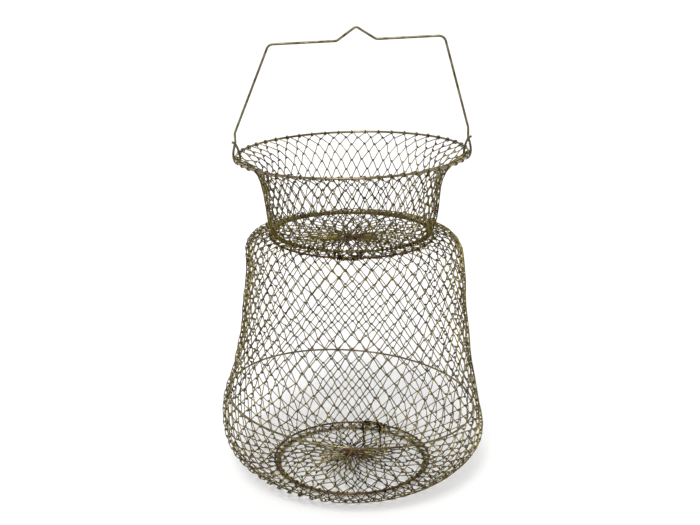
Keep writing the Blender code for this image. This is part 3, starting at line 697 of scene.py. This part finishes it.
class KEEPNET_OT_neck_net(bpy.types.Operator):
    """Knot the neck net between the throat frame and the mouth ring"""

    bl_idname = "keepnet.neck_net"
    bl_label = "Neck net"

    def execute(self, context):
        settings = context.scene.keep_net
        sizes, mesh = settings.rings, settings.mesh
        neck = sizes.mouth_height - sizes.throat_height
        radius, height = (v[::-1] for v in neck_profile(sizes, mesh.wire))
        total = np.hypot(np.diff(radius), np.diff(height)).sum()
        places = graded(total, mesh.neck_row, mesh.neck_row)

        def draw(even, share):
            """Drawn together at the front of the mouth, and clear of the bail's eyes and the hinge links."""
            fade, first, second = 0.45, -0.10, -0.08
            near = smooth(1 - share / fade)
            angle = crowded(even, first * near, second * near)
            angle[0] = clear_of(angle[0], (0.0, math.pi), EYE_ROOM / sizes.mouth_radius)
            angle[-1] = clear_of(angle[-1], link_angles("throat", settings), LINK_ROOM / sizes.frame_radius)
            return angle

        def lean(points):
            """Leaned and squeezed with the mouth ring, and drawn down under the bail's eyes."""
            share = np.clip((points[..., 2] - sizes.throat_height) / neck, 0, 1)
            offset = points * SQUEEZE * share[..., None] ** 2
            offset[..., 2] = points[..., 0] * math.tan(MOUTH_LEAN) * share
            near = np.abs(points[..., 1]) / EYE_ROOM
            offset[1:-1, :, 2] -= EYE_SAG * (np.exp(-(near**2)) * share**4)[1:-1]
            return offset

        half_cell = math.pi / mesh.cells
        knots = Knots(radius, height, places, mesh.cells, half_cell, draw, mesh.slack, lean, 11)
        hook = hooked(mesh.wire)
        tubes = [knots.row_tube(row, mesh.wire, -1, hook, hook) for row in range(len(places) - 1)]
        metal = finish("lacquered_net_wire")
        frame_lacing("neck_net_lower_lacing", knots.points[-1], sizes.throat_height, "throat", settings)
        mouth = tilted(sizes.mouth_height, -MOUTH_LEAN)
        high = lacing(knots.points[0], sizes.mouth_radius, sizes.mouth_wire, mesh.wire, -1, mouth, SQUEEZE)
        wire_piece("neck_net_upper_lacing", high, metal, "mouth")
        piece = wire_piece("knotted_neck_net", tubes, metal, "throat")
        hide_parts("neck_net")
        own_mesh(piece)
        return {"FINISHED"}


class KEEPNET_OT_body_nets(bpy.types.Operator):
    """Knot the body net from the throat frame to the belly line, and from there to the bottom frame"""

    bl_idname = "keepnet.body_nets"
    bl_label = "Body nets"

    def execute(self, context):
        settings = context.scene.keep_net
        sizes, mesh = settings.rings, settings.mesh
        outset, floor_room = 0.00045, 1.9 * mesh.wire
        radius, height, line = body_profile(sizes, settings.body, mesh.wire, outset)
        height = np.maximum(height, floor_room)
        along = running(np.hypot(np.diff(radius), np.diff(height)))
        upper = graded(along[line], mesh.shoulder_row, mesh.side_row)
        lower = along[line] + graded(along[-1] - along[line], mesh.side_row, mesh.side_row)
        places = np.concatenate([upper, lower[1:]])

        def draw(even, share):
            """Drawn together at the front, most at the shoulder, and clear of the hinge links."""
            belly = along[line] / along[-1]
            stations = [0.0, 0.08, 0.25, belly * 0.8, belly, 1.0]
            angle = crowded(even, -np.interp(share, stations, [0.0, 0.10, 0.13, 0.05, 0.02, 0.0]))
            for row, prefix in ((0, "throat"), (-1, "bottom")):
                links = link_angles(prefix, settings)
                angle[row] = clear_of(angle[row], links, LINK_ROOM / sizes.frame_radius)
            return angle

        def lean(points):
            """Leaned with the belly ring, and swayed to the right between the bowl and the shoulder."""
            leaning, shoulder, bowl, side = 0.09, 0.035, 0.045, 0.245
            x, y, z = np.moveaxis(points, -1, 0)
            share = smooth(1 - np.abs(z - sizes.belly_height) / leaning)
            stand = smooth((sizes.throat_height - z) / shoulder) * np.clip((z - bowl) / side, 0, 1) ** 0.6
            sideways = x / np.hypot(x, y)
            offset = np.zeros_like(points)
            offset[..., 0] = np.where(sideways < 0, *SWAY) * stand * sideways**4
            offset[..., 2] = -x * math.tan(BELLY_LEAN) * share
            return offset

        knots = Knots(radius, height, places, mesh.cells, 0.0, draw, mesh.slack, lean, 12)
        split = len(upper) - 1
        hook = hooked(mesh.wire)
        rows = [knots.row_tube(row, mesh.wire, 1, hook, hook) for row in range(len(places) - 1)]
        metal = finish("lacquered_net_wire")
        frame_lacing("body_net_upper_lacing", knots.points[0], sizes.throat_height, "throat", settings)
        frame_lacing("body_net_lower_lacing", knots.points[-1], sizes.foot_height, "foot", settings)
        high = wire_piece("knotted_upper_net", rows[:split], metal, "belly")
        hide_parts("upper_body_net")
        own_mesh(high)
        low = wire_piece("knotted_lower_net", rows[split:], metal, "foot")
        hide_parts("lower_body_net")
        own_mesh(low)
        return {"FINISHED"}


def hinge_matrices(prefix):
    """Frames of a door's hinge, x along the bar, y to its middle, z into the basket: level and tilted.

    The tilted one's y is the way from the hinge to the middle of the door's CAD ring, as the door lies.
    """
    joint = next(j for j in frame["joints"] if j["name"] == f"{prefix}_door_swing")
    into = np.array([0.0, 0.0, INTO[prefix]])
    spot, x = np.array(joint["pos_m"], float), unit(np.array(joint["axis"], float))
    way = cad_points(f"{prefix}_door_ring").mean(axis=0) - spot
    found = []
    for y in (np.cross(into, x), unit(way - (way @ x) * x)):
        matrix = np.eye(4)
        matrix[:3, 0], matrix[:3, 1], matrix[:3, 2], matrix[:3, 3] = x, y, np.cross(x, y), spot
        found.append(matrix)
    return found


def door_sizes(settings):
    """Sizes of a door that follow from its wires.

    They are the radius and the pitch of the spring's coils, how far the spring's legs, the links and the
    bar's ends lie from the bar's middle, and how far the bar lies from the ring's middle.
    """
    coil_play, turn_gap, link_space, bar_end = 0.00055, 0.0004, 0.0026, 0.0014
    wire, ring = settings.doors.spring_wire, settings.rings.ring_wire
    coil = ring / 2 + coil_play + wire / 2
    pitch = wire + turn_gap
    leg = settings.doors.spring_half + settings.doors.spring_turns * pitch
    link = leg + wire / 2 + link_space
    bar_half = link + settings.doors.link_wire / 2 + bar_end
    return coil, pitch, leg, link, bar_half, math.sqrt(settings.rings.door_radius**2 - bar_half**2)


def carried(shapes, matrix):
    """Tubes carried by a matrix."""
    return [(placed(points, matrix), *rest) for points, *rest in shapes]


class KEEPNET_OT_doors(bpy.types.Operator):
    """Make each door's ring with its straight hinge bar, its gathered net and the tie on the strands"""

    bl_idname = "keepnet.doors"
    bl_label = "Doors"

    def execute(self, context):
        settings = context.scene.keep_net
        for prefix in INTO:
            door = hinge_matrices(prefix)[1]
            body = f"{prefix}_door"
            net, strands = self.net(settings, 21 + len(prefix))
            pieces = [
                ("ring", self.ring(settings), "browned_door_wire", "door_wire"),
                ("net", net, "lacquered_net_wire", "net_wire"),
                ("tie", self.tie(settings), "browned_door_wire", "door_wire"),
            ]
            for kind, shapes, metal, slot in pieces:
                name = f"{prefix}_door_{kind}"
                piece = wire_piece(f"made_{name}", carried(shapes, door), finish(metal), body)
                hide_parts(name)
            brown = finish("browned_door_wire")
            wire_piece(f"gathered_{prefix}_strands", carried(strands, door), brown, body)
        return {"FINISHED"}

    def ring(self, settings):
        """Door ring: an arc closed by the straight hinge bar."""
        *_, half, distance = door_sizes(settings)
        radius = settings.rings.door_radius
        gap = math.asin(half / radius)
        a = np.linspace(-np.pi / 2 + gap, 3 * np.pi / 2 - gap, 180)
        arc = turned(radius, a, 0.0) + (0, distance, 0)
        bar = np.linspace(-half, half, 14)[1:-1, None] * (1, 0, 0)
        return [tube(np.concatenate([arc, bar]), settings.rings.ring_wire, (0, 0, 1), 12, closed=True)]

    def net(self, settings, seed):
        """Door net: rows of knots from the ring in to the middle; and the strands that are gathered there.

        A row's knots are drawn round by a tenth of sin 3t at most, more the nearer they are to the middle.
        """
        sizes, mesh = settings.rings, settings.mesh
        half, distance = door_sizes(settings)[-2:]
        inner, play = 0.017, 0.0001
        rim_lift, rim_width = 0.0019, 0.006
        dome_lift, dome_radius, dome_width = 0.0012, 0.05, 0.04
        radius = np.linspace(sizes.door_radius, inner, 120)
        height = rim_lift * smooth((sizes.door_radius - radius) / rim_width)
        height += dome_lift * smooth((dome_radius - radius) / dome_width)
        places = graded(sizes.door_radius - inner, mesh.door_row, mesh.door_row)

        def ripple(points):
            """Raised in two sets of waves, which fade towards the ring and the middle."""
            lift, wave, wavelet = 0.0007, 0.0005, 0.0004
            rim, rim_fade, hub, hub_fade = 0.094, 0.03, 0.012, 0.02
            r = np.hypot(points[..., 0], points[..., 1])
            t = np.arctan2(points[..., 1], points[..., 0])
            swell = smooth((rim - r) / rim_fade) * smooth((r - hub) / hub_fade)
            offset = np.zeros_like(points)
            waves = lift + wave * np.sin(5 * t + 40 * r) + wavelet * np.sin(9 * t - 70 * r)
            offset[..., 2] = swell * waves
            return offset

        def draw(even, share):
            return even + 0.10 * share * np.sin(3 * even + 4 * share + seed)

        knots = Knots(radius, height, places, mesh.door_cells, FRONT, draw, mesh.door_slack, ripple, seed)
        self.lace(knots, distance, half)
        reach = (mesh.wire + sizes.ring_wire) / 2 + play
        hook, over_ring = hooked(mesh.wire), (1, reach, reach, mesh.wire * 0.55)
        tops = [over_ring, *[hook] * (len(places) - 2)]
        shapes = [knots.row_tube(row, mesh.wire, 1, top, hook) for row, top in enumerate(tops)]
        middle = np.eye(4)
        middle[1, 3] = distance
        return carried(shapes, middle), carried(self.bunch(knots.points[-1], mesh.wire, seed), middle)

    def lace(self, knots, distance, half):
        """Set the first row of knots on the ring or its straight bar, clear of the coils and the links."""
        coils_start, coils_end, between = 0.003, 0.016, 0.0153
        x, y = knots.points[0, :, 0], knots.points[0, :, 1]
        near = (y < 0) & (np.abs(x) < coils_end) & (np.abs(x) > coils_start)
        x = np.where(near, np.sign(x) * between, x)
        y = np.where((y < 0) & (np.abs(x) < half), -distance, y)
        knots.points[0] = np.column_stack([x, y, 0 * x])

    def bunch(self, knots, wire, seed):
        """Strands from the innermost knots, drawn in by pairs and up the tie. Two in three loop over it.

        Loop: q = (1 - cos 2u) / 2 with u from 0 to pi, a length times q outwards, a width times q sin 2u
        aside, and a height that rises with the root of sin u and falls with q^1.5.
        """
        count = len(knots)
        chance = np.random.default_rng(seed)
        angle = np.arctan2(knots[:, 1], knots[:, 0])[:, None]
        layer = np.array([0.0026, 0.0018, 0.0009])[np.arange(count) % 3][:, None]
        start = np.hypot(knots[:, 0], knots[:, 1])[:, None]
        share = np.array([[0.0, 0.35, 0.62, 0.82, 0.95, 1.0, 1.0]])
        up = np.array([[0.0, 0.0003, 0.0005, 0.0008, 0.0013, 0.0026, 0.0046]])
        r = start + (layer - start) * share
        odd = (np.arange(count) % 2)[:, None]
        together = smooth(share / 0.4)
        t = angle + share * (0.25 * np.sin(7 * angle) + 0.06 * chance.standard_normal(angle.shape))
        t = t + together * (0.5 - odd) * 1.6 * np.pi / count
        z = knots[:, 2:] * (1 - share) + 0.0012 * share + up + 0.0005 * odd * together
        rising = turned(r, t, z)
        u = np.linspace(0, np.pi, 17)[None, 1:]
        q = (1 - np.cos(2 * u)) / 2
        way = t[:, -1:] + 0.5 * chance.standard_normal((count, 1))
        reach = 0.004 + (0.008 + 0.016 * np.cos(way) ** 2) * chance.random((count, 1)) ** 1.6
        aside = (0.0011 + 0.0006 * chance.random((count, 1))) * q * np.sin(2 * u)
        out = layer + reach * q
        fall = 0.0008 + 0.0020 * chance.random((count, 1))
        cos, sin = np.cos(way), np.sin(way)
        over = z[:, -1:] + 0.0016 * np.sin(u) ** 0.5 - fall * q**1.5
        loop = np.stack([out * cos - aside * sin, out * sin + aside * cos, over], axis=-1)
        loop = np.concatenate([rising[:, -1:], loop], axis=1)[np.arange(count) % 3 > 0]
        # Each strand takes a fifth of the darker colour all along
        return [tube(path, wire, (0.31, 0.17, 0.93), 6, dulled=0.2) for path in (*rising, *loop)]

    def tie(self, settings):
        """Tie: a helix round the gathered strands, r constant and z growing evenly with the angle."""
        bundle, foot, turns = 0.0032, 0.0020, 3
        distance = door_sizes(settings)[-1]
        wire = settings.doors.tie_wire
        t = np.linspace(0, 2 * np.pi * turns, 24 * turns + 1)
        path = turned(bundle + wire / 2, t, foot + (wire + CLEARANCE) * t / (2 * np.pi))
        return [tube(path + (0, distance, 0), wire, (0, 0, 1), 8)]


class KEEPNET_OT_hinges(bpy.types.Operator):
    """Wind each door's spring on its hinge bar, and the links that hang the bar from the frame ring"""

    bl_idname = "keepnet.hinges"
    bl_label = "Springs and links"

    def execute(self, context):
        settings = context.scene.keep_net
        bridge_end = -0.0115
        for prefix, body in (("throat", "throat"), ("bottom", "foot")):
            level, door = hinge_matrices(prefix)
            local = (cad_points(f"{prefix}_door_spring") - door[:3, 3]) @ door[:3, :3]
            press = float(local[local[:, 1] < bridge_end, 2].mean())
            way = door[:3, :2].T @ (0.0, -math.copysign(1.0, door[1, 3]), 0.0)
            legs, bridge = self.spring(settings, press + CLEARANCE, way)
            metal = finish("tempered_spring_wire")
            legs = carried(legs, door)
            arms = wire_piece(f"{prefix}_spring_coils", legs, metal, f"{prefix}_door")
            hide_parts(f"{prefix}_door_spring")
            wire_piece(f"{prefix}_spring_bridge", carried(bridge, door), metal, body)
            for side, sign in (("left", -1), ("right", 1)):
                name = f"{prefix}_hinge_link_{side}"
                shape = self.link(settings, sign * INTO[prefix])
                piece = wire_piece(f"turned_{name}", carried(shape, level), metal, body)
                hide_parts(name)
        return {"FINISHED"}

    def spring(self, settings, press, way):
        """Spring's legs with their coils, and its bridge, in the hinge's frame.

        Coil: x shrinks evenly, y = -R sin(a), z = R cos(a), with a from 0 to the turns. Each leg and the
        bridge leave the top of a coil square to the bar, and the legs then run from front to back of the
        basket.
        """
        coil, pitch, leg, *_ = door_sizes(settings)
        wire, turns = settings.doors.spring_wire, settings.doors.spring_turns
        near, near_height, tip_height, straight = 0.012, 0.0044, 0.0066, 0.0015
        onward = (settings.doors.spring_leg - near) * way
        sides = []
        for x in (leg, -leg):
            tip = x + onward[0], near + onward[1], tip_height
            corners = np.array([tip, (x, near, near_height), (x, straight, coil), (x, 0, coil)])
            sides.append(bent(corners, [0.02, 0.01], 4))
        right, left = sides
        a = np.linspace(0, 2 * np.pi * turns, 24 * turns + 1)
        helix = np.stack([leg - pitch * a / (2 * np.pi), -coil * np.sin(a), coil * np.cos(a)], axis=-1)
        arms = [np.concatenate([right[:-1], helix]), np.concatenate([left[:-1], helix * (-1, 1, 1)])[::-1]]
        half, bridge_straight, bridge_reach = settings.doors.spring_half, 0.0022, 0.012
        bridge = np.array([(half, 0.0, coil), (half, -bridge_straight, coil), (half, -bridge_reach, press)])
        corners = np.concatenate([bridge, bridge[::-1] * (-1, 1, 1)])
        bow = bent(corners, [0.003, 0.0026, 0.0026, 0.003], 8)
        legs = [tube(arm, wire, (side * 0.80, 0.15, 0.58), 10) for side, arm in zip((1, -1), arms)]
        return legs, [tube(bow, wire, (0.0, 0.35, 0.94), 10)]

    def link(self, settings, side):
        """Link: two and a half turns of a long loop round the hinge bar and the frame ring, side by side."""
        play, spread = 0.00015, 2.6
        _, _, _, offset, _, distance = door_sizes(settings)
        wire, ring = settings.doors.link_wire, settings.rings.ring_wire
        radius = ring / 2 + wire / 2 + play
        beside = distance - math.sqrt(settings.rings.frame_radius**2 - offset**2)
        way = np.array([beside, -HINGE_DROP])
        w = unit(way)
        n = np.array([-w[1], w[0]])
        a = np.linspace(-np.pi / 2, np.pi / 2, 13)[:, None]
        far = way + radius * (np.cos(a) * w + np.sin(a) * n)
        near = radius * (-np.cos(a) * w - np.sin(a) * n)
        loop = np.tile(np.concatenate([far, near]), (3, 1))[:65]
        step = running(np.linalg.norm(np.diff(loop, axis=0), axis=1))
        x = side * offset + (step / step[-1] - 0.5) * wire * spread
        return [tube(np.column_stack([x, loop]), wire, (1, 0, 0), 8)]


class KEEPNET_OT_stage(bpy.types.Operator):
    """Lay the pale floor, set the soft studio light and place the camera as it was for the photograph"""

    bl_idname = "keepnet.stage"
    bl_label = "Stage"

    def execute(self, context):
        scene = context.scene
        scene.view_settings.view_transform = "Standard"
        half = 20.0
        mesh = bpy.data.meshes.new("studio_floor")
        corners = [(-half, -half, 0), (half, -half, 0), (half, half, 0), (-half, half, 0)]
        mesh.from_pydata(corners, [], [(0, 1, 2, 3)])
        floor = bpy.data.objects.new("studio_floor", mesh)
        scene.collection.objects.link(floor)
        mesh.materials.append(self.floor_paper(scene.keep_net.colours.floor))

        self.sky(scene)
        sun = bpy.data.lights.new("soft_key", "SUN")
        sun.energy = 2.0
        sun.angle = math.radians(24)
        key = bpy.data.objects.new("soft_key", sun)
        key.rotation_euler = (math.radians(38), math.radians(-9), 0)
        scene.collection.objects.link(key)

        lens = bpy.data.cameras.new("camera")
        lens.sensor_width = 36.0
        lens.lens = lens.sensor_width * FOCAL_LENGTH / PICTURE_WIDTH
        lens.clip_end = 100.0
        camera = bpy.data.objects.new("camera", lens)
        camera.location = CAMERA_PLACE
        camera.rotation_euler = (math.radians(90 - CAMERA_PITCH), 0, 0)
        scene.collection.objects.link(camera)
        scene.camera = camera
        return {"FINISHED"}

    def floor_paper(self, tint):
        """Matt seamless paper: pale and even, and white where no shadow falls on it."""
        material = bpy.data.materials.new("matt_paper")
        material.use_nodes = True
        tree = material.node_tree
        shader = tree.nodes["Principled BSDF"]
        place = node(tree, "ShaderNodeTexCoord").outputs["Object"]
        fibre = node(tree, "ShaderNodeTexNoise", Vector=place, Scale=700.0, Detail=3.0).outputs["Fac"]
        tone = blend(tree, fibre, tint, (c * 0.99 for c in tint))
        fill(shader, Roughness=0.9, Specular_IOR_Level=0.1, Base_Color=tone)
        return material

    def sky(self, scene):
        """Even pale surroundings: white to the camera and to reflections, softer as a light.

        Reflections also see the bright soft box that the key light stands for, so the wires take its glint.
        """
        world = bpy.data.worlds.new("studio")
        scene.world = world
        world.use_nodes = True
        tree = world.node_tree
        shader = tree.nodes["Background"]
        rays = node(tree, "ShaderNodeLightPath").outputs
        glossy = rays["Is Glossy Ray"]
        seen = maths(tree, "MAXIMUM", rays["Is Camera Ray"], glossy)
        seen = maths(tree, "MAXIMUM", seen, rays["Is Transmission Ray"])
        level = ranged(tree, seen, To_Min=0.68, To_Max=1.0)
        way = node(tree, "ShaderNodeTexCoord").outputs["Generated"]
        toward = node(tree, "ShaderNodeVectorMath", {"operation": "DOT_PRODUCT"}, i0=way, i1=SOFT_BOX_WAY)
        box = ranged(tree, toward.outputs["Value"], From_Min=0.94, From_Max=0.98, To_Min=0.0, To_Max=4.5)
        glint = maths(tree, "MULTIPLY", box, glossy)
        fill(shader, Color=(1.0, 1.0, 1.0, 1.0), Strength=maths(tree, "ADD", level, glint))


class KEEPNET_PT_panel(bpy.types.Panel):
    """Sizes, colours and build buttons of the keep net"""

    bl_idname = "KEEPNET_PT_panel"
    bl_label = "Wire Keep Net"
    bl_space_type = "VIEW_3D"
    bl_region_type = "UI"
    bl_category = "Keep Net"

    def draw(self, context):
        settings = context.scene.keep_net
        for title in ("rings", "body", "mesh", "bail", "doors", "colours"):
            box = self.layout.box()
            box.label(text=title.capitalize())
            group = getattr(settings, title)
            for name in group.__annotations__:
                box.prop(group, name)
        column = self.layout.column(align=True)
        for operator in OPERATORS:
            column.operator(operator.bl_idname)


OPERATORS = (
    KEEPNET_OT_stage,
    KEEPNET_OT_rings,
    KEEPNET_OT_bail,
    KEEPNET_OT_neck_net,
    KEEPNET_OT_body_nets,
    KEEPNET_OT_doors,
    KEEPNET_OT_hinges,
)
CLASSES = (
    KeepNetRings,
    KeepNetBody,
    KeepNetMesh,
    KeepNetBail,
    KeepNetDoors,
    KeepNetColours,
    KeepNet,
    *OPERATORS,
    KEEPNET_PT_panel,
)


def register():
    for cls in CLASSES:
        bpy.utils.register_class(cls)
    bpy.types.Scene.keep_net = PointerProperty(type=KeepNet)


def unregister():
    del bpy.types.Scene.keep_net
    for cls in reversed(CLASSES):
        bpy.utils.unregister_class(cls)


def main():
    register()
    for operator in OPERATORS:
        group, name = operator.bl_idname.split(".")
        getattr(getattr(bpy.ops, group), name)()


if __name__ == "__main__":
    main()
